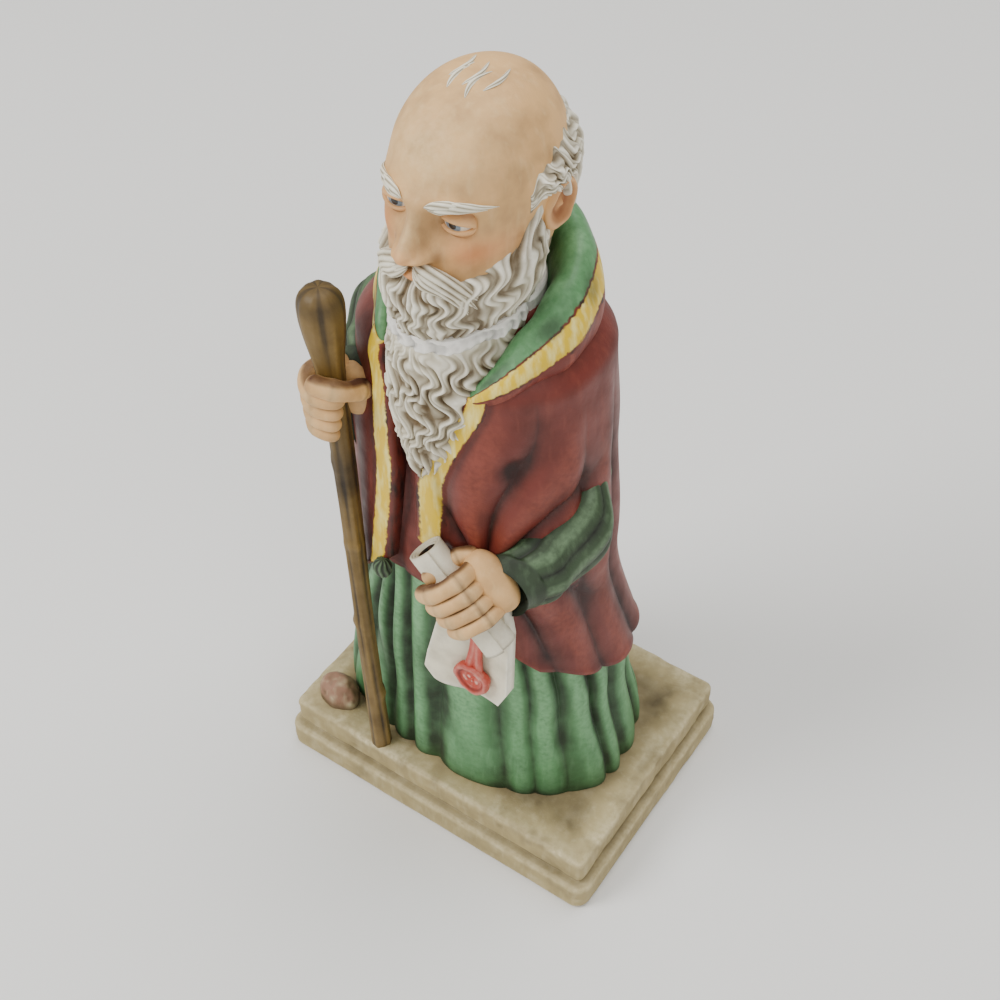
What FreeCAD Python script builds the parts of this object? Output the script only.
import FreeCAD, Part
import math
import os
from types import SimpleNamespace

import Sketcher

# Figural liquor decanter: a robed, hooded and bearded figure with a staff and a scroll, luted
# together from hollow porcelain castings on a stepped plinth. Its head is the stopper, glued to
# a cork. Millimetres, +Z up, the figure faces -Y and its left hand is at +X. The origin is the
# middle of the plinth's underside.

SIZES = (
    # Plinth: two tiers with a drawn-in band between them, hollow and open into the gown
    ("plinth_width", 122.0),
    ("plinth_depth", 92.0),
    ("plinth_lower_height", 11.0),
    ("plinth_band_height", 2.0),
    ("plinth_upper_height", 10.0),
    ("plinth_upper_inset", 2.5),
    ("plinth_band_inset", 4.0),
    ("plinth_corner_radius", 5.0),
    ("plinth_wall", 6.0),
    ("plinth_floor", 5.0),
    ("plinth_roof", 5.0),
    ("plinth_opening_width", 60.0),
    ("plinth_opening_depth", 40.0),
    # Rock on the plinth beside the staff
    ("rock_half_width", 8.0),
    ("rock_half_depth", 6.0),
    ("rock_height", 10.0),
    ("rock_right", 47.0),
    ("rock_front", 33.0),
    # Gown and torso: the vessel's outside at five levels, front and back from the plinth's middle
    ("gown_height", 96.0),
    ("torso_height", 98.0),
    ("hem_half_width", 53.0),
    ("hem_front", 37.0),
    ("hem_back", 36.0),
    ("knee_height", 42.0),
    ("knee_half_width", 47.5),
    ("knee_front", 36.0),
    ("knee_back", 30.0),
    ("waist_half_width", 36.0),
    ("waist_front", 36.0),
    ("waist_back", 22.0),
    ("chest_half_width", 34.0),
    ("chest_front", 36.0),
    ("chest_back", 19.0),
    ("shoulder_half_width", 31.0),
    ("shoulder_front", 34.0),
    ("shoulder_back", 16.5),
    ("neck_radius", 17.5),
    ("stoop", 12.0),
    ("sway", 4.0),
    ("body_squareness", 2.3),
    ("tunic_overhang", 1.5),
    ("vessel_wall", 4.0),
    ("vessel_ceiling", 5.0),
    # Collar: the white seat for the head, with the bottle's mouth in it
    ("collar_height", 4.0),
    ("collar_back_radius", 17.0),
    ("collar_front_radius", 13.5),
    ("collar_front_offset", 17.0),
    # Mantle and hood
    ("mantle_thickness", 4.5),
    ("mantle_hem_height", 52.0),
    ("mantle_top_drop", 5.0),
    ("mantle_opening_back", 4.0),
    ("hood_radius", 24.0),
    ("hood_roll", 7.0),
    ("hood_half_height", 14.5),
    ("hood_centre_drop", 3.5),
    # Beard below the collar
    ("beard_length", 43.0),
    ("beard_half_width", 20.0),
    ("beard_front", 31.0),
    ("beard_back", 10.0),
    # Staff and the hand that holds it
    ("staff_height", 197.0),
    ("staff_radius", 3.2),
    ("staff_knob_radius", 6.2),
    ("staff_right", 27.2),
    ("staff_front", 39.8),
    ("staff_bow", 3.3),
    ("right_hand_height", 159.0),
    ("right_hand_half_width", 9.0),
    ("right_hand_half_depth", 8.5),
    ("right_hand_half_height", 12.0),
    # Sleeves
    ("right_sleeve_radius", 10.5),
    ("right_sleeve_drape", 26.0),
    ("left_sleeve_radius", 12.0),
    ("left_sleeve_drape", 15.0),
    # Left hand and the scroll in it
    ("scroll_diameter", 11.0),
    ("scroll_bore", 6.0),
    ("scroll_bore_depth", 5.0),
    ("scroll_length", 35.0),
    ("scroll_tilt", 44.0),
    ("scroll_left", 17.0),
    ("scroll_front", 46.5),
    ("scroll_height", 113.0),
    ("left_hand_half_length", 11.0),
    ("left_hand_half_width", 10.5),
    ("left_hand_half_depth", 8.5),
    ("sheet_width", 26.0),
    ("sheet_drop", 48.0),
    ("sheet_front", 43.0),
    ("seal_diameter", 12.0),
    ("seal_thickness", 2.0),
    ("ribbon_width", 3.6),
    ("ribbon_thickness", 0.8),
    # Stopper: hollow porcelain head with a stub, the glue and the cork
    ("head_height", 57.0),
    ("head_half_width", 20.0),
    ("head_front", 29.5),
    ("head_back", 25.5),
    ("head_wall", 4.0),
    ("nose_reach", 5.0),
    ("ear_half_height", 7.0),
    ("ear_half_depth", 4.5),
    ("ear_half_width", 2.6),
    ("stub_diameter", 14.0),
    ("stub_length", 13.0),
    ("drain_diameter", 6.0),
    ("glue_film", 0.4),
    ("glue_flange", 0.5),
    ("cork_top_diameter", 25.8),
    ("cork_bottom_diameter", 20.8),
    ("cork_length", 26.0),
    ("cork_clearance", 0.3),
    ("throat_clearance", 1.1),
    # One overrun for every cut that passes through a face
    ("overrun", 2.0),
)

RING_POINTS = 16
LOFT_DEGREE = 3

# Levels of the gown and the torso, as shares of their heights, where their sections are drawn
GOWN_RING_SHARES = (0.0, 0.12, 0.28, 0.5, 0.75, 1.0)
TORSO_RING_SHARES = (0.0, 0.25, 0.5, 0.7, 0.82, 0.92, 1.0)
CHEST_HEIGHT_SHARE = 0.5
SHOULDER_HEIGHT_SHARE = 0.82

# How far each of the vessel's levels, from hem to neck, sways to the figure's right
SWAY_SHARES = (1.0, 1.0, 0.75, 0.4, 0.2, 0.0)

# Mantle's levels between its hem and its top edge
MANTLE_RING_SHARES = (0.0, 0.16, 0.33, 0.5, 0.66, 0.79, 0.9, 1.0)
# Front opening of the mantle, seen from the front: across as a share of the waist's half width,
# up as a share of the way from the mantle's hem to its top
OPENING_SHARES = (
    (0.56, 1.05), (0.42, 0.9), (0.08, 0.69), (0.01, 0.52), (0.33, 0.49), (0.78, 0.4), (1.25, 0.19),
    (1.72, -0.05), (-1.83, -0.05), (-1.17, 0.09), (-0.72, 0.24), (-0.42, 0.36), (-0.32, 0.53), (-0.26, 0.67),
    (-0.33, 0.87), (-0.5, 1.05),
)

# Hood: degrees round from the back, then shares of its roll and of its half height, and its
# centre's drop as a share of the half height
HOOD_STATION_SHARES = (
    (-138.0, 0.4, 0.36, 1.0), (-105.0, 0.7, 0.6, 0.62), (-60.0, 0.9, 0.86, 0.2), (0.0, 1.0, 1.0, 0.0),
    (60.0, 1.0, 0.94, 0.12), (105.0, 0.85, 0.72, 0.5), (138.0, 0.5, 0.42, 0.95),
)

# Beard: share of its length down from the collar, of its half width and of its front reach
BEARD_RING_SHARES = (
    (0.0, 0.85, 0.97), (0.25, 0.97, 1.0), (0.5, 1.0, 1.02), (0.75, 0.85, 1.0), (0.92, 0.56, 0.97),
    (1.0, 0.28, 0.93),
)

# Staff: share of its height, of the knob's or the shaft's radius, and of its bow across
STAFF_SHAFT_SHARES = (
    (0.0, 1.05, 1.0), (0.15, 0.95, 0.66), (0.3, 0.92, 0.35), (0.45, 0.93, 0.13), (0.6, 0.97, -0.05),
    (0.78, 1.08, -0.35),
)
STAFF_KNOB_SHARES = (
    (0.87, 0.66, -0.68), (0.915, 0.88, -0.85), (0.945, 0.99, -0.93), (0.97, 1.0, -0.97), (0.988, 0.86, -1.0),
    (1.0, 0.55, -1.0),
)

# Where the staff's bow carries it at the hand
RIGHT_HAND_BOW_SHARE = 0.45
# Fist on the staff: share of its half height up from its middle, and of its half width and depth
RIGHT_HAND_RING_SHARES = ((-1.0, 0.6), (-0.75, 0.88), (-0.3, 1.0), (0.3, 1.0), (0.75, 0.88), (1.0, 0.6))

# Sleeves: share of the way from the shoulder or elbow to the wrist, of the radius across and up,
# of the drape down, and of the radius that the arm bows outward
RIGHT_SLEEVE_SHARES = (
    (0.0, 0.9, 1.0, 0.45, 0.0), (0.4, 1.0, 1.0, 0.6, 0.8), (0.75, 0.85, 0.82, 0.95, 0.5),
    (1.0, 0.72, 0.72, 1.0, 0.1),
)
LEFT_SLEEVE_SHARES = (
    (0.0, 1.0, 1.15, 0.9, 0.0), (0.4, 1.0, 1.0, 1.0, 0.75), (0.75, 0.82, 0.8, 0.8, 0.55),
    (1.0, 0.7, 0.68, 0.6, 0.0),
)
# Where each arm starts inside the body: shares of the shoulder's half width and back, and of the
# torso's height
RIGHT_SHOULDER_SHARES = (0.72, 0.0, 0.8)
LEFT_ELBOW_SHARES = (0.72, 0.05, 0.36)
# How far the wrists lie from the hands' middles, as shares of the hands' half widths
RIGHT_WRIST_SHARES = (0.35, 0.75, 0.1)
LEFT_WRIST_SHARES = (0.72, 0.68, 0.2)

# Rock: share of its height and of its half width and half depth
ROCK_RING_SHARES = ((0.0, 1.0), (0.35, 0.96), (0.7, 0.7), (1.0, 0.28))

# Loose sheet of the scroll, from its upper left corner: shares of its width and of its drop
SHEET_SHARES = (
    (0.25, -0.05), (0.12, 0.3), (-0.15, 0.93), (-0.08, 1.0), (0.62, 1.03), (0.95, 0.95), (1.0, 0.3),
    (0.85, 0.17),
)
# Seal and ribbon on the sheet: shares of its width and of its drop
SEAL_SHARES = (0.54, 0.82)
RIBBON_TOP_SHARES = (0.63, 0.34)

# Head: share of its height, of its half width, of its front and of its back reach
HEAD_RING_SHARES = (
    (0.0, 0.8, 0.99, 0.63), (0.12, 0.88, 1.0, 0.66), (0.27, 0.93, 0.96, 0.78), (0.42, 0.96, 0.9, 0.92),
    (0.57, 1.0, 0.88, 1.0), (0.72, 0.99, 0.84, 0.98), (0.86, 0.82, 0.66, 0.82), (0.95, 0.52, 0.4, 0.52),
    (1.0, 0.12, 0.1, 0.12),
)
# Nose, on the share of the head's height that drawing books give it: its middle and half height
NOSE_HEIGHT_SHARE = 0.44
NOSE_HALF_HEIGHT_SHARE = 0.13
NOSE_HALF_WIDTH_SHARE = 0.2
NOSE_FRONT_SHARE = 0.9
EAR_HEIGHT_SHARE = 0.48
EAR_BACK_SHARE = 0.1
EAR_OUT_SHARE = 0.97


def make_sheet(document):
    """Write each driving size to a cell with an alias, and return the sheet."""
    sheet = document.addObject("Spreadsheet::Sheet", "Sizes")
    for row, (alias, value) in enumerate(SIZES, start=1):
        sheet.set(f"A{row}", alias)
        sheet.set(f"B{row}", str(value))
        sheet.setAlias(f"B{row}", alias)
    document.recompute()
    return sheet


doc = FreeCAD.newDocument("decanter")
sizes_sheet = make_sheet(doc)
size = SimpleNamespace(**{alias: float(sizes_sheet.get(alias)) for alias, _ in SIZES})

# Levels that several pieces share
plinth_top = size.plinth_lower_height + size.plinth_band_height + size.plinth_upper_height
torso_foot = plinth_top + size.gown_height
torso_top = torso_foot + size.torso_height
seat = torso_top + size.collar_height
PLINTH_TOP = "Sizes.plinth_lower_height + Sizes.plinth_band_height + Sizes.plinth_upper_height"
TORSO_TOP = f"({PLINTH_TOP} + Sizes.gown_height + Sizes.torso_height)"
SEAT = f"({TORSO_TOP} + Sizes.collar_height)"

ACROSS = FreeCAD.Vector(1, 0, 0)
FRONT = FreeCAD.Vector(0, -1, 0)
UP = FreeCAD.Vector(0, 0, 1)
neck_axis = FRONT * size.stoop


def bind(item, **expressions):
    """Bind properties of a document object to expressions over the sheet."""
    for name, expression in expressions.items():
        item.setExpression(name.replace("__", "."), expression)
    return item


def primitive(kind, name, place=None, turn=None, **expressions):
    """A Part primitive bound to the sheet, with its placement bound too."""
    item = doc.addObject(kind, name)
    if turn is not None:
        item.Placement = FreeCAD.Placement(FreeCAD.Vector(), turn)
    bind(item, **expressions)
    for axis, expression in zip("xyz", place or ()):
        item.setExpression(f"Placement.Base.{axis}", expression)
    return item


def piece(name, shape):
    """A sculpted piece as a document object with its own shape."""
    item = doc.addObject("Part::Feature", name)
    item.Shape = shape
    item.Placement = FreeCAD.Placement()
    return item


def cut(name, base, *tools):
    """Cut one object, or several joined ones, out of another."""
    item = doc.addObject("Part::Cut", name)
    item.Base = base
    if len(tools) == 1:
        item.Tool = tools[0]
        return item
    joined = doc.addObject("Part::MultiFuse", f"{name}_cutters")
    joined.Shapes = list(tools)
    item.Tool = joined
    return item


def squared(value, squareness):
    """A sine or cosine drawn out for a superellipse: 2 leaves it as it is."""
    return math.copysign(abs(value) ** (2 / squareness), value)


def oval(centre, side, half_side, ahead, reach_ahead, reach_behind, squareness=2):
    """A closed curve about a centre: the same half width both ways along side, and its own
    reach along ahead and against it."""
    points = []
    for step in range(RING_POINTS):
        angle = 2 * math.pi * step / RING_POINTS
        reach = reach_ahead if math.cos(angle) > 0 else reach_behind
        sideways = half_side * squared(math.sin(angle), squareness)
        points.append(centre + side * sideways + ahead * (reach * squared(math.cos(angle), squareness)))
    curve = Part.BSplineCurve()
    curve.interpolate(points, PeriodicFlag=True)
    return Part.Wire(curve.toShape())


def loft(wires):
    """A closed solid through the wires, in order."""
    return Part.makeLoft(wires, True, False, False, LOFT_DEGREE)


def eased(low, high, share):
    """Between two values, level at both ends."""
    return low + (high - low) * share * share * (3 - 2 * share)


def body_stations():
    """The vessel's outside from hem to neck: height over the plinth, half width, front and back
    reach, and the sway to the right."""
    chest_height = size.gown_height + CHEST_HEIGHT_SHARE * size.torso_height
    shoulder_height = size.gown_height + SHOULDER_HEIGHT_SHARE * size.torso_height
    neck_height = size.gown_height + size.torso_height
    neck_front = size.neck_radius + size.stoop
    neck_back = size.neck_radius - size.stoop
    levels = (
        (0, size.hem_half_width, size.hem_front, size.hem_back),
        (size.knee_height, size.knee_half_width, size.knee_front, size.knee_back),
        (size.gown_height, size.waist_half_width, size.waist_front, size.waist_back),
        (chest_height, size.chest_half_width, size.chest_front, size.chest_back),
        (shoulder_height, size.shoulder_half_width, size.shoulder_front, size.shoulder_back),
        (neck_height, size.neck_radius, neck_front, neck_back),
    )
    return [level + (share * size.sway,) for level, share in zip(levels, SWAY_SHARES)]


def body_section(height):
    """Half width, front, back and sway of the vessel's outside at a height over the plinth."""
    stations = body_stations()
    low, high = stations[0], stations[1]
    for low, high in zip(stations, stations[1:]):
        if height <= high[0]:
            break
    share = min(max((height - low[0]) / (high[0] - low[0]), 0), 1)
    return [eased(below, above, share) for below, above in zip(low[1:], high[1:])]


def body_ring(height, grow):
    """The vessel's outline at a height over the plinth, grown or shrunk all round."""
    half_width, front, back, sway = body_section(height)
    middle = (front - back) / 2
    reach = (front + back) / 2 + grow
    centre = UP * (plinth_top + height) + FRONT * middle - ACROSS * sway
    return oval(centre, ACROSS, half_width + grow, FRONT, reach, reach, size.body_squareness)


def origin_plane(body, role):
    """The body's own origin plane with that role."""
    return next(item for item in body.Origin.OriginFeatures if item.Role == role)


def rectangle_pad(body, name, width, depth, height, level):
    """A pad of a rectangle about the Z axis, its sizes and level bound to the sheet."""
    sketch = body.newObject("Sketcher::SketchObject", f"{name}_outline")
    sketch.AttachmentSupport = [(origin_plane(body, "XY_Plane"), "")]
    sketch.MapMode = "FlatFace"
    sketch.setExpression("AttachmentOffset.Base.z", level)
    corners = [FreeCAD.Vector(x, y, 0) for x, y in ((-1, -1), (1, -1), (1, 1), (-1, 1))]
    for start, end in zip(corners, corners[1:] + corners[:1]):
        sketch.addGeometry(Part.LineSegment(start, end))
    for line in range(4):
        sketch.addConstraint(Sketcher.Constraint("Coincident", line, 2, (line + 1) % 4, 1))
        direction = "Horizontal" if line % 2 == 0 else "Vertical"
        sketch.addConstraint(Sketcher.Constraint(direction, line))
    sketch.addConstraint(Sketcher.Constraint("Symmetric", 0, 1, 2, 1, -1, 1))
    across = sketch.addConstraint(Sketcher.Constraint("DistanceX", 0, 1, 0, 2, size.plinth_width))
    along = sketch.addConstraint(Sketcher.Constraint("DistanceY", 1, 1, 1, 2, size.plinth_depth))
    sketch.setExpression(f"Constraints[{across}]", width)
    sketch.setExpression(f"Constraints[{along}]", depth)
    pad = body.newObject("PartDesign::Pad", name)
    pad.Profile = sketch
    bind(pad, Length=height)
    return pad


def make_plinth():
    """Two stone-like tiers with a drawn-in band between, corners rounded, hollow within and open
    above into the gown."""
    body = doc.addObject("PartDesign::Body", "plinth_blank")
    tiers = (
        ("lower_tier", "0", "Sizes.plinth_lower_height", "0"),
        ("band", "Sizes.plinth_band_inset", "Sizes.plinth_band_height", "Sizes.plinth_lower_height"),
        ("upper_tier", "Sizes.plinth_upper_inset", "Sizes.plinth_upper_height",
         "Sizes.plinth_lower_height + Sizes.plinth_band_height"),
    )
    for name, inset, height, level in tiers:
        width = f"Sizes.plinth_width - 2 * {inset}"
        depth = f"Sizes.plinth_depth - 2 * {inset}"
        rectangle_pad(body, name, width, depth, height, level)
    doc.recompute()
    solid = body.Tip
    uprights = []
    for number, edge in enumerate(solid.Shape.Edges, start=1):
        start, end = (vertex.Point for vertex in edge.Vertexes)
        if math.hypot(start.x - end.x, start.y - end.y) < size.plinth_band_height / 2:
            uprights.append(f"Edge{number}")
    rounded = body.newObject("PartDesign::Fillet", "rounded_corners")
    rounded.Base = (solid, uprights)
    bind(rounded, Radius="Sizes.plinth_corner_radius")
    inside = "(Sizes.plinth_band_inset + Sizes.plinth_wall)"
    hollow = primitive(
        "Part::Box", "plinth_hollow",
        place=(
            f"{inside} - Sizes.plinth_width / 2",
            f"{inside} - Sizes.plinth_depth / 2",
            "Sizes.plinth_floor",
        ),
        Length=f"Sizes.plinth_width - 2 * {inside}",
        Width=f"Sizes.plinth_depth - 2 * {inside}",
        Height=f"{PLINTH_TOP} - Sizes.plinth_roof - Sizes.plinth_floor",
    )
    opening = primitive(
        "Part::Box", "plinth_opening",
        place=(
            "-Sizes.plinth_opening_width / 2",
            "-Sizes.plinth_opening_depth / 2",
            "Sizes.plinth_lower_height",
        ),
        Length="Sizes.plinth_opening_width",
        Width="Sizes.plinth_opening_depth",
        Height=PLINTH_TOP,
    )
    return cut("plinth", body, hollow, opening)


def make_forms():
    """The filled outsides of the gown, the torso and the mantle, which other pieces lie on."""
    gown = loft([body_ring(share * size.gown_height, 0) for share in GOWN_RING_SHARES])
    torso_rings = []
    for share in TORSO_RING_SHARES:
        overhang = size.tunic_overhang * (1 - share)
        torso_rings.append(body_ring(size.gown_height + share * size.torso_height, overhang))
    torso = loft(torso_rings)
    top = size.gown_height + size.torso_height - size.mantle_top_drop
    mantle_rings = []
    for share in MANTLE_RING_SHARES:
        height = size.mantle_hem_height + share * (top - size.mantle_hem_height)
        mantle_rings.append(body_ring(height, size.mantle_thickness))
    mantle = loft(mantle_rings)
    return SimpleNamespace(gown=gown, torso=torso, mantle=mantle)


def make_gown(forms):
    """Lower half of the vessel: the skirt, open below into the plinth and above into the torso."""
    rings = [body_ring(share * size.gown_height, -size.vessel_wall) for share in GOWN_RING_SHARES]
    below = rings[0].copy()
    below.translate(UP * -size.overrun)
    above = rings[-1].copy()
    above.translate(UP * size.overrun)
    return piece("gown", forms.gown.cut(loft([below] + rings + [above])))


def make_torso(forms):
    """Upper half of the vessel: tunic and shoulders, open below and at the throat."""
    rim = body_ring(size.gown_height, -size.vessel_wall)
    below = rim.copy()
    below.translate(UP * -size.overrun)
    ceiling = size.gown_height + size.torso_height - size.vessel_ceiling
    levels = [size.gown_height + share * size.torso_height for share in TORSO_RING_SHARES[1:]]
    levels = [level for level in levels if level < ceiling] + [ceiling]
    rings = [body_ring(level, -size.vessel_wall) for level in levels]
    hollow = loft([below, rim] + rings)
    throat_radius = size.cork_top_diameter / 2 + size.throat_clearance
    throat_foot = neck_axis + UP * (torso_top - size.vessel_ceiling - size.overrun)
    throat_length = size.vessel_ceiling + 2 * size.overrun
    throat = Part.makeCylinder(throat_radius, throat_length, throat_foot, UP)
    return piece("torso", forms.torso.cut(hollow).cut(throat))


def collar_outline():
    """Egg-shaped face about the neck's axis: a large arc behind, a small one in front and the
    two lines that touch both."""
    lean = math.asin((size.collar_back_radius - size.collar_front_radius) / size.collar_front_offset)
    centre = neck_axis + UP * torso_top
    front_centre = centre + FRONT * size.collar_front_offset
    corners = []
    for hand in (1, -1):
        spoke = ACROSS * (hand * math.cos(lean)) + FRONT * math.sin(lean)
        back = centre + spoke * size.collar_back_radius
        corners.append((back, front_centre + spoke * size.collar_front_radius))
    (left_back, left_front), (right_back, right_front) = corners
    outline = Part.Wire([
        Part.Arc(left_back, centre - FRONT * size.collar_back_radius, right_back).toShape(),
        Part.LineSegment(right_back, right_front).toShape(),
        Part.Arc(right_front, front_centre + FRONT * size.collar_front_radius, left_front).toShape(),
        Part.LineSegment(left_front, left_back).toShape(),
    ])
    return Part.Face(outline)


def make_collar():
    """White seat for the head, with the tapered mouth that the cork closes."""
    plate = piece("collar_plate", collar_outline().extrude(UP * size.collar_height))
    taper = "(Sizes.cork_top_diameter - Sizes.cork_bottom_diameter) / 2 / Sizes.cork_length"
    mouth_radius = "Sizes.cork_top_diameter / 2 + Sizes.cork_clearance"
    mouth = primitive(
        "Part::Cone", "mouth",
        place=("0", "-Sizes.stoop", f"{TORSO_TOP} - Sizes.overrun"),
        Radius1=f"{mouth_radius} - {taper} * (Sizes.collar_height + Sizes.overrun)",
        Radius2=f"{mouth_radius} + {taper} * Sizes.overrun",
        Height="Sizes.collar_height + 2 * Sizes.overrun",
    )
    return cut("neck_collar", plate, mouth)


def make_beard(forms):
    """Lower half of the beard, hanging from the collar on to the chest."""
    rings = []
    for down_share, width_share, front_share in BEARD_RING_SHARES:
        centre = neck_axis + UP * (torso_top - down_share * size.beard_length)
        half_width = width_share * size.beard_half_width
        front = front_share * size.beard_front
        rings.append(oval(centre, ACROSS, half_width, FRONT, front, size.beard_back))
    return piece("beard", loft(rings).cut(forms.torso))


def make_mantle(forms, beard, right_sleeve, right_hand):
    """Cloak over the shoulders and down the back, open in front and round the right sleeve."""
    foot = plinth_top + size.mantle_hem_height
    rise = torso_top - size.mantle_top_drop - foot
    points = []
    for across_share, up_share in OPENING_SHARES:
        across = ACROSS * (across_share * size.waist_half_width)
        points.append(across + UP * (foot + up_share * rise) + FRONT * size.plinth_depth)
    outline = Part.makePolygon(points + points[:1])
    opening = Part.Face(outline).extrude(FRONT * -(size.plinth_depth - size.mantle_opening_back))
    neighbours = [forms.gown, forms.torso, opening, beard.Shape, right_sleeve.Shape, right_hand.Shape]
    return piece("mantle", forms.mantle.cut(neighbours))


def make_hood(forms, mantle, collar, beard, right_sleeve):
    """Thick cowl thrown back round the neck, highest behind and thin at its ends."""
    sections = []
    for degrees, roll_share, rise_share, drop_share in HOOD_STATION_SHARES:
        angle = math.radians(degrees)
        outward = ACROSS * math.sin(angle) - FRONT * math.cos(angle)
        level = seat - size.hood_centre_drop - drop_share * size.hood_half_height
        centre = neck_axis + outward * size.hood_radius + UP * level
        half_height = rise_share * size.hood_half_height
        sections.append(oval(centre, outward, roll_share * size.hood_roll, UP, half_height, half_height))
    neighbours = [forms.torso, mantle.Shape, collar.Shape, beard.Shape, right_sleeve.Shape]
    remains = loft(sections).cut(neighbours).Solids
    return piece("hood", max(remains, key=lambda solid: solid.Volume))


def make_staff():
    """Knobbed walking staff with a slight bow, standing on the plinth."""
    rings = []
    tables = ((STAFF_SHAFT_SHARES, size.staff_radius), (STAFF_KNOB_SHARES, size.staff_knob_radius))
    for table, radius in tables:
        for height_share, radius_share, bow_share in table:
            centre = FRONT * size.staff_front - ACROSS * (size.staff_right - bow_share * size.staff_bow)
            centre += UP * (plinth_top + height_share * size.staff_height)
            reach = radius_share * radius
            rings.append(oval(centre, ACROSS, reach, FRONT, reach, reach))
    return piece("staff", Part.makeLoft(rings, True, True))


def limb(start, end, table, radius, drape, outward):
    """A sleeve from start to end: upright ovals across the way, with the cloth hanging below."""
    way = end - start
    ahead = FreeCAD.Vector(way.x, way.y, 0).normalize()
    side = ahead.cross(UP)
    sections = []
    for way_share, side_share, up_share, down_share, bow_share in table:
        centre = start + way * way_share + side * (outward * bow_share * radius)
        sections.append(oval(centre, side, side_share * radius, UP, up_share * radius, down_share * drape))
    return loft(sections)


def inside_body(shares, hand):
    """A point inside the torso, from shares of the shoulder's size and the torso's height."""
    across_share, back_share, up_share = shares
    across = ACROSS * (hand * across_share * size.shoulder_half_width)
    height = torso_foot + up_share * size.torso_height
    return across - FRONT * (back_share * size.shoulder_back) + UP * height


def make_right_sleeve(forms):
    """Wide sleeve of the raised right arm, hanging below the wrist."""
    across_share, back_share, up_share = RIGHT_WRIST_SHARES
    wrist = FRONT * (size.staff_front - back_share * size.right_hand_half_depth)
    wrist -= ACROSS * (size.staff_right - across_share * size.right_hand_half_width)
    wrist += UP * (plinth_top + size.right_hand_height + up_share * size.right_hand_half_height)
    shoulder = inside_body(RIGHT_SHOULDER_SHARES, -1)
    sleeve = limb(shoulder, wrist, RIGHT_SLEEVE_SHARES, size.right_sleeve_radius, size.right_sleeve_drape, 1)
    return piece("right_sleeve", sleeve.cut(forms.torso))


def make_left_sleeve(forms, mantle, roll):
    """Sleeve of the bent left arm, coming forward from under the mantle."""
    across_share, back_share, up_share = LEFT_WRIST_SHARES
    wrist = FRONT * (size.scroll_front - back_share * size.left_hand_half_depth)
    wrist += ACROSS * (size.scroll_left + across_share * size.left_hand_half_length)
    wrist += UP * (plinth_top + size.scroll_height + up_share * size.left_hand_half_width)
    elbow = inside_body(LEFT_ELBOW_SHARES, 1)
    sleeve = limb(elbow, wrist, LEFT_SLEEVE_SHARES, size.left_sleeve_radius, size.left_sleeve_drape, -1)
    return piece("left_sleeve", sleeve.cut([forms.torso, forms.gown, mantle.Shape, roll.Shape]))


def make_right_hand(staff, sleeve):
    """Closed fist round the staff."""
    middle = FRONT * size.staff_front + UP * (plinth_top + size.right_hand_height)
    middle -= ACROSS * (size.staff_right + RIGHT_HAND_BOW_SHARE * size.staff_bow)
    rings = []
    for height_share, reach_share in RIGHT_HAND_RING_SHARES:
        half_width = reach_share * size.right_hand_half_width
        half_depth = reach_share * size.right_hand_half_depth
        level = middle + UP * (height_share * size.right_hand_half_height)
        rings.append(oval(level, ACROSS, half_width, FRONT, half_depth, half_depth))
    return piece("right_hand", loft(rings).cut([staff.Shape, sleeve.Shape]))


def scroll_turn():
    """Turns the Z axis to the scroll's axis, which leans to the figure's right at the top."""
    return FreeCAD.Rotation(FRONT, size.scroll_tilt)


SCROLL_PLACE = ("Sizes.scroll_left", "-Sizes.scroll_front", f"{PLINTH_TOP} + Sizes.scroll_height")


def along_scroll(distance):
    """Placement expressions of a point on the scroll's axis, a signed length from its middle."""
    left, front, height = SCROLL_PLACE
    return (
        f"{left} - ({distance}) * sin(Sizes.scroll_tilt * 1 deg)",
        front,
        f"{height} + ({distance}) * cos(Sizes.scroll_tilt * 1 deg)",
    )


def make_scroll():
    """Rolled scroll: a full roll with the spiral's hole at each end."""
    roll = primitive(
        "Part::Cylinder", "scroll_roll", place=along_scroll("-Sizes.scroll_length / 2"), turn=scroll_turn(),
        Radius="Sizes.scroll_diameter / 2", Height="Sizes.scroll_length",
    )
    holes = []
    for name, start in (
        ("upper", "Sizes.scroll_length / 2 - Sizes.scroll_bore_depth"),
        ("lower", "-Sizes.scroll_length / 2 - Sizes.overrun"),
    ):
        holes.append(primitive(
            "Part::Cylinder", f"scroll_{name}_hole", place=along_scroll(start), turn=scroll_turn(),
            Radius="Sizes.scroll_bore / 2", Height="Sizes.scroll_bore_depth + Sizes.overrun",
        ))
    return roll, cut("scroll", roll, *holes)


def sheet_point(shares):
    """A point on the loose sheet's front face, from shares of its width and of its drop."""
    across_share, down_share = shares
    across = ACROSS * (size.scroll_left + across_share * size.sheet_width - size.sheet_width / 2)
    level = plinth_top + size.scroll_height - down_share * size.sheet_drop
    return across + FRONT * size.sheet_front + UP * level


def make_scroll_sheet(forms, roll, left_sleeve, mantle):
    """Loose end of the scroll, hanging against the gown."""
    points = [sheet_point(shares) for shares in SHEET_SHARES]
    outline = Part.makePolygon(points + points[:1])
    slab = Part.Face(outline).extrude(FRONT * -size.sheet_front)
    neighbours = [forms.gown, forms.torso, roll.Shape, left_sleeve.Shape, mantle.Shape]
    return piece("scroll_sheet", slab.cut(neighbours))


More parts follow.
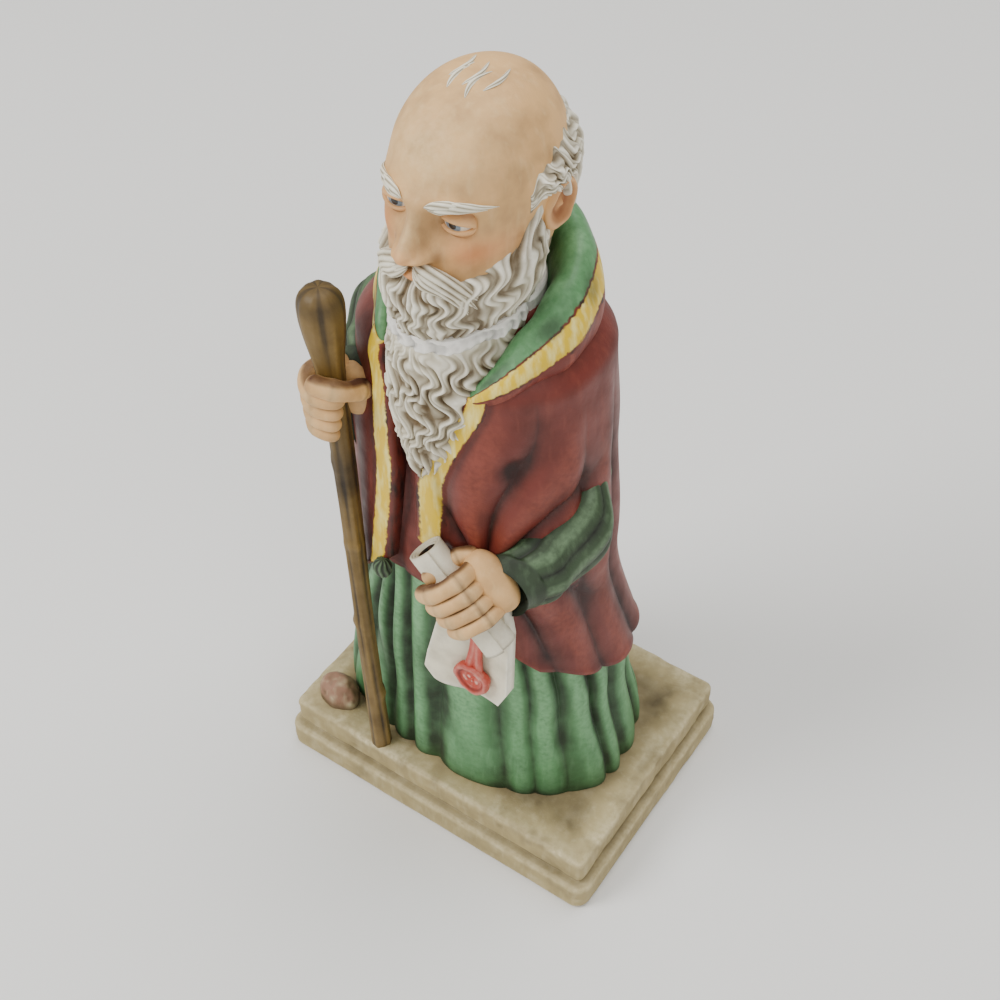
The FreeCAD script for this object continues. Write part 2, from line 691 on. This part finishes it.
def make_wax_seal():
    """Round wax seal lying on the sheet."""
    across_share, down_share = SEAL_SHARES
    return primitive(
        "Part::Cylinder", "wax_seal",
        place=(
            f"Sizes.scroll_left + {across_share} * Sizes.sheet_width - Sizes.sheet_width / 2",
            "-Sizes.sheet_front",
            f"{PLINTH_TOP} + Sizes.scroll_height - {down_share} * Sizes.sheet_drop",
        ),
        turn=FreeCAD.Rotation(UP, FRONT),
        Radius="Sizes.seal_diameter / 2", Height="Sizes.seal_thickness",
    )


def make_ribbon(seal, roll, hand):
    """Flat ribbon on the sheet, from under the hand to the seal."""
    top = sheet_point(RIBBON_TOP_SHARES)
    way = sheet_point(SEAL_SHARES) - top
    side = FRONT.cross(way).normalize() * (size.ribbon_width / 2)
    corners = [top - side, top + side, top + side + way, top - side + way]
    strip = Part.Face(Part.makePolygon(corners + corners[:1])).extrude(FRONT * size.ribbon_thickness)
    return piece("ribbon", strip.cut([seal.Shape, roll.Shape, hand.Shape]))


def make_left_hand(scroll, sheet, sleeve, mantle):
    """Hand closed over the scroll."""
    fist = primitive(
        "Part::Ellipsoid", "left_fist", place=SCROLL_PLACE, turn=scroll_turn(),
        Radius1="Sizes.left_hand_half_width",
        Radius2="Sizes.left_hand_half_length",
        Radius3="Sizes.left_hand_half_depth",
    )
    return cut("left_hand", fist, scroll, sheet, sleeve, mantle)


def make_rock(forms, staff):
    """Rough stone on the plinth outside the staff."""
    centre = FRONT * size.rock_front - ACROSS * size.rock_right + UP * plinth_top
    rings = []
    for height_share, reach_share in ROCK_RING_SHARES:
        half_width = reach_share * size.rock_half_width
        half_depth = reach_share * size.rock_half_depth
        level = centre + UP * (height_share * size.rock_height)
        rings.append(oval(level, ACROSS, half_width, FRONT, half_depth, half_depth))
    return piece("rock", loft(rings).cut([forms.gown, staff.Shape]))


def head_ring(shares, inset):
    """A section of the head, as far in from its outside as the inset."""
    height_share, width_share, front_share, back_share = shares
    centre = neck_axis + UP * (seat + height_share * size.head_height)
    half_width = width_share * size.head_half_width - inset
    front = front_share * size.head_front - inset
    back = back_share * size.head_back - inset
    return oval(centre, ACROSS, half_width, FRONT, front, back)


def make_head():
    """Hollow head with nose, ears and the upper half of the beard, on a stub for the cork."""
    skin = loft([head_ring(shares, 0) for shares in HEAD_RING_SHARES])
    hollow = loft([head_ring(shares, size.head_wall) for shares in HEAD_RING_SHARES[1:-2]])
    nose = primitive(
        "Part::Ellipsoid", "nose",
        place=(
            "0",
            f"-Sizes.stoop - {NOSE_FRONT_SHARE} * Sizes.head_front",
            f"{SEAT} + {NOSE_HEIGHT_SHARE} * Sizes.head_height",
        ),
        Radius1=f"{NOSE_HALF_HEIGHT_SHARE} * Sizes.head_height",
        Radius2=f"{NOSE_HALF_WIDTH_SHARE} * Sizes.head_half_width",
        Radius3="Sizes.nose_reach",
    )
    ears = []
    for name, hand in (("left_ear", ""), ("right_ear", "-")):
        ears.append(primitive(
            "Part::Ellipsoid", name,
            place=(
                f"{hand}{EAR_OUT_SHARE} * Sizes.head_half_width",
                f"-Sizes.stoop + {EAR_BACK_SHARE} * Sizes.head_back",
                f"{SEAT} + {EAR_HEIGHT_SHARE} * Sizes.head_height",
            ),
            Radius1="Sizes.ear_half_height", Radius2="Sizes.ear_half_width", Radius3="Sizes.ear_half_depth",
        ))
    stub = primitive(
        "Part::Cylinder", "stub", place=("0", "-Sizes.stoop", f"{SEAT} - Sizes.stub_length"),
        Radius="Sizes.stub_diameter / 2", Height="Sizes.stub_length + Sizes.head_wall",
    )
    drain = primitive(
        "Part::Cylinder", "drain",
        place=("0", "-Sizes.stoop", f"{SEAT} - Sizes.stub_length - Sizes.overrun"),
        Radius="Sizes.drain_diameter / 2",
        Height="Sizes.stub_length + Sizes.overrun + Sizes.head_height / 3",
    )
    outside = doc.addObject("Part::MultiFuse", "head_outside")
    outside.Shapes = [piece("head_skin", skin), nose, stub] + ears
    return cut("stopper_head", outside, piece("head_hollow", hollow), drain)


def present_value(expression):
    """What an expression over the sheet comes to now."""
    return float(sizes_sheet.evalExpression(expression))


def turned_profile(body, name, points):
    """A closed sketch of straight lines on the body's XZ plane, each corner bound to the sheet.
    Points are pairs of expressions, out from the axis and up, with their present values."""
    sketch = body.newObject("Sketcher::SketchObject", name)
    sketch.AttachmentSupport = [(origin_plane(body, "XZ_Plane"), "")]
    sketch.MapMode = "FlatFace"
    places = []
    for out, up in points:
        places.append(FreeCAD.Vector(present_value(out), present_value(up), 0))
    count = len(points)
    for number, place in enumerate(places):
        sketch.addGeometry(Part.LineSegment(place, places[(number + 1) % count]))
    for number, (out, up) in enumerate(points):
        sketch.addConstraint(Sketcher.Constraint("Coincident", number, 2, (number + 1) % count, 1))
        place = places[number]
        for kind, value, text in (("DistanceX", place.x, out), ("DistanceY", place.y, up)):
            index = sketch.addConstraint(Sketcher.Constraint(kind, -1, 1, number, 1, value))
            sketch.setExpression(f"Constraints[{index}]", text)
    return sketch


def turned(name, points):
    """A body turned about the neck's axis from such a profile, whose heights start at the seat."""
    body = doc.addObject("PartDesign::Body", name)
    sketch = turned_profile(body, f"{name}_profile", points)
    revolution = body.newObject("PartDesign::Revolution", f"{name}_turning")
    revolution.Profile = sketch
    revolution.ReferenceAxis = (sketch, ["V_Axis"])
    revolution.Angle = 360
    bind(body, Placement__Base__y="-Sizes.stoop", Placement__Base__z=SEAT)
    return body


def make_glue():
    """Glue round and under the stub, with a thin flange over the cork's top."""
    film = "Sizes.stub_diameter / 2 + Sizes.glue_film"
    rim = "Sizes.cork_top_diameter / 2"
    foot = "-Sizes.stub_length - Sizes.glue_film"
    return turned("glue", (
        ("Sizes.stub_diameter / 2", "0"),
        (rim, "0"),
        (rim, "-Sizes.glue_flange"),
        (film, "-Sizes.glue_flange"),
        (film, foot),
        ("0", foot),
        ("0", "-Sizes.stub_length"),
        ("Sizes.stub_diameter / 2", "-Sizes.stub_length"),
    ))


def make_cork():
    """Tapered cork with a blind hole for the stub."""
    hole = "Sizes.stub_diameter / 2 + Sizes.glue_film"
    hole_floor = "-Sizes.stub_length - Sizes.glue_film"
    return turned("cork", (
        (hole, "-Sizes.glue_flange"),
        ("Sizes.cork_top_diameter / 2", "-Sizes.glue_flange"),
        ("Sizes.cork_bottom_diameter / 2", "-Sizes.cork_length"),
        ("0", "-Sizes.cork_length"),
        ("0", hole_floor),
        (hole, hole_floor),
    ))


def make_parts():
    """Build every piece, inner ones first, and return the ones that the decanter consists of."""
    forms = make_forms()
    collar = make_collar()
    staff = make_staff()
    roll, scroll = make_scroll()
    seal = make_wax_seal()
    doc.recompute()
    beard = make_beard(forms)
    right_sleeve = make_right_sleeve(forms)
    right_hand = make_right_hand(staff, right_sleeve)
    mantle = make_mantle(forms, beard, right_sleeve, right_hand)
    hood = make_hood(forms, mantle, collar, beard, right_sleeve)
    left_sleeve = make_left_sleeve(forms, mantle, roll)
    sheet = make_scroll_sheet(forms, roll, left_sleeve, mantle)
    left_hand = make_left_hand(scroll, sheet, left_sleeve, mantle)
    doc.recompute()
    ribbon = make_ribbon(seal, roll, left_hand)
    return [
        make_plinth(), make_rock(forms, staff), make_gown(forms), make_torso(forms), collar, beard, mantle,
        hood, staff, right_sleeve, right_hand, left_sleeve, scroll, sheet,
        left_hand, seal, ribbon, make_head(), make_glue(), make_cork(),
    ]


def check(parts):
    """Stop on any failed object and on any piece without a valid solid."""
    for item in doc.Objects:
        faults = [state for state in item.State if state in ("Invalid", "Error")]
        if faults:
            raise RuntimeError(f"{item.Label} failed to build: {faults}")
    for part in parts:
        shape = part.Shape
        if shape.isNull() or not shape.isValid() or not shape.Solids:
            raise RuntimeError(f"{part.Label} has no valid solid")


def main():
    """Build, check and write the pieces."""
    parts = make_parts()
    doc.recompute()
    check(parts)
    os.makedirs("parts", exist_ok=True)
    for part in parts:
        part.Shape.exportStep(os.path.join("parts", f"{part.Label}.step"))
        print(f"{part.Label}: {len(part.Shape.Solids)} solid, {part.Shape.Volume:.0f} mm3")


if __name__ == "__main__":
    main()
